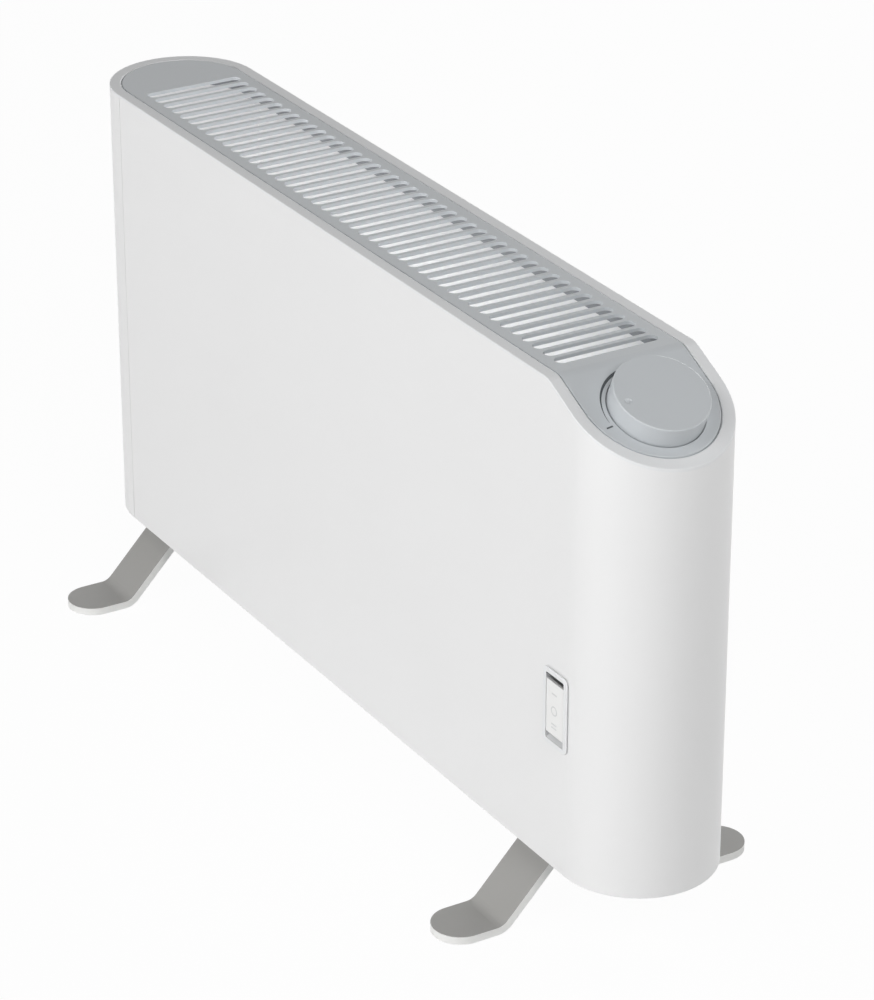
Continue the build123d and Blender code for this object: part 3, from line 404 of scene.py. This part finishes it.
# Camera: the photograph's own view, worked out from the heater's straight edges.
camera = {"place": (1.6433, -0.9556, 1.0628), "along": (-0.7733, 0.4609, -0.4355), "lens": 142.6,
          "sensor": 36, "shift": (0.0018, -0.0076)}
cameraData = bpy.data.cameras.new("camera")
cameraData.lens = camera["lens"]
cameraData.sensor_width = camera["sensor"]
cameraData.shift_x, cameraData.shift_y = camera["shift"]
cameraObject = bpy.data.objects.new("camera", cameraData)
cameraObject.location = camera["place"]
cameraObject.rotation_euler = Vector(camera["along"]).to_track_quat("-Z", "Y").to_euler()
scene.collection.objects.link(cameraObject)
scene.camera = cameraObject

# Studio: soft boxes in front, to the right and behind, a light table under the heater, and one lamp low
# inside the casing, which gives the light that rises from the table through it and out at the slots.
middle = (0, 0, 0.15)
lamps = {
    "keySoftbox": {"place": (0.5386, -2.0099, 2.0236), "aim": middle, "size": (1.2, 0.7), "power": 19.5},
    "frontSoftbox": {"place": (0, -2.7932, 0.3453), "aim": middle, "size": (2.0, 0.5), "power": 33},
    "rightSoftbox": {"place": (1.8625, -0.3284, 1.6276), "aim": middle, "size": (1.0, 0.8), "power": 20.5},
    "rightBackSoftbox": {"place": (1.66, 1.66, 0.649), "aim": middle, "size": (1.0, 1.0), "power": 7},
    "backSoftbox": {"place": (0, 1.966, 1.5266), "aim": middle, "size": (1.6, 0.9), "power": 5.8},
    "leftBackSoftbox": {"place": (-1.6, 2.28, 0.5), "aim": middle, "size": (1.4, 0.8), "power": 26},
    "lightTable": {"place": (0.2, -0.2, 0.004), "aim": (0.2, -0.2, 1), "size": (3.0, 2.4), "power": 1.5},
    "casingGlow": {"place": (-0.025, 0, 0.172), "aim": (-0.025, 0, 1), "size": (0.45, 0.05), "power": 0.26},
}
for name, lamp in lamps.items():
    lampData = bpy.data.lights.new(name, "AREA")
    lampData.shape = "RECTANGLE"
    lampData.size, lampData.size_y = lamp["size"]
    lampData.energy = lamp["power"]
    lampObject = bpy.data.objects.new(name, lampData)
    lampObject.location = lamp["place"]
    beam = Vector(lamp["aim"]) - Vector(lamp["place"])
    lampObject.rotation_euler = beam.to_track_quat("-Z", "Y").to_euler()
    lampObject.visible_camera = False
    scene.collection.objects.link(lampObject)


# 1 where the camera, a reflection or a look through something clear meets it, and 0 for all other light.
def lookedAt(tree):
    path = addNode(tree, "ShaderNodeLightPath")
    direct = addNode(tree, "ShaderNodeMath", {"operation": "MAXIMUM"},
                     {0: (path, "Is Camera Ray"), 1: (path, "Is Transmission Ray")})
    return addNode(tree, "ShaderNodeMath", {"operation": "MAXIMUM"},
                   {0: (direct, 0), 1: (path, "Is Glossy Ray")})


# Background: the room is a dim white for light, and plain white wherever the camera or a reflection
# looks at it.
sky = {"level": 0.02}
world = bpy.data.worlds.new("studio")
world.use_nodes = True
scene.world = world
tree = world.node_tree
tree.nodes.clear()
seen = lookedAt(tree)
room = addNode(tree, "ShaderNodeBackground", {"Color": (1, 1, 1, 1), "Strength": sky["level"]})
white = addNode(tree, "ShaderNodeBackground", {"Color": (1, 1, 1, 1), "Strength": 1.0})
both = addNode(tree, "ShaderNodeMixShader", links={0: (seen, 0), 1: (room, 0), 2: (white, 0)})
addNode(tree, "ShaderNodeOutputWorld", links={"Surface": (both, 0)})

# Floor: pale matt paper; the camera sees it near white and still sees the heater's soft shadow on it.
floor = {"side": 14, "colour": "#E4E4E4", "drift": "#E1E1E1", "fibre": 400, "glow": 0.97}
floorMesh = bpy.data.meshes.new("floor")
half = floor["side"] / 2
corners = [(-half, -half, 0), (half, -half, 0), (half, half, 0), (-half, half, 0)]
floorMesh.from_pydata(corners, [], [(0, 1, 2, 3)])
floorObject = bpy.data.objects.new("floor", floorMesh)
scene.collection.objects.link(floorObject)
material, tree = newMaterial("matPaper")
seen = lookedAt(tree)
fibre = addNode(tree, "ShaderNodeTexNoise", {"Scale": floor["fibre"]})
tone = addNode(tree, "ShaderNodeMix",
               {"data_type": "RGBA", 6: linear(floor["colour"]), 7: linear(floor["drift"])},
               {0: (fibre, "Fac")})
paper = addNode(tree, "ShaderNodeBsdfDiffuse", links={"Color": (tone, 2)})
glow = addNode(tree, "ShaderNodeEmission", {"Color": (1, 1, 1, 1), "Strength": 1.0})
veil = addNode(tree, "ShaderNodeMath", {"operation": "MULTIPLY", 1: floor["glow"]}, {0: (seen, 0)})
both = addNode(tree, "ShaderNodeMixShader", links={0: (veil, 0), 1: (paper, 0), 2: (glow, 0)})
addNode(tree, "ShaderNodeOutputMaterial", links={"Surface": (both, 0)})
floorMesh.materials.append(material)
print("camera, lamps and floor in place")

scene.view_settings.view_transform = "Standard"
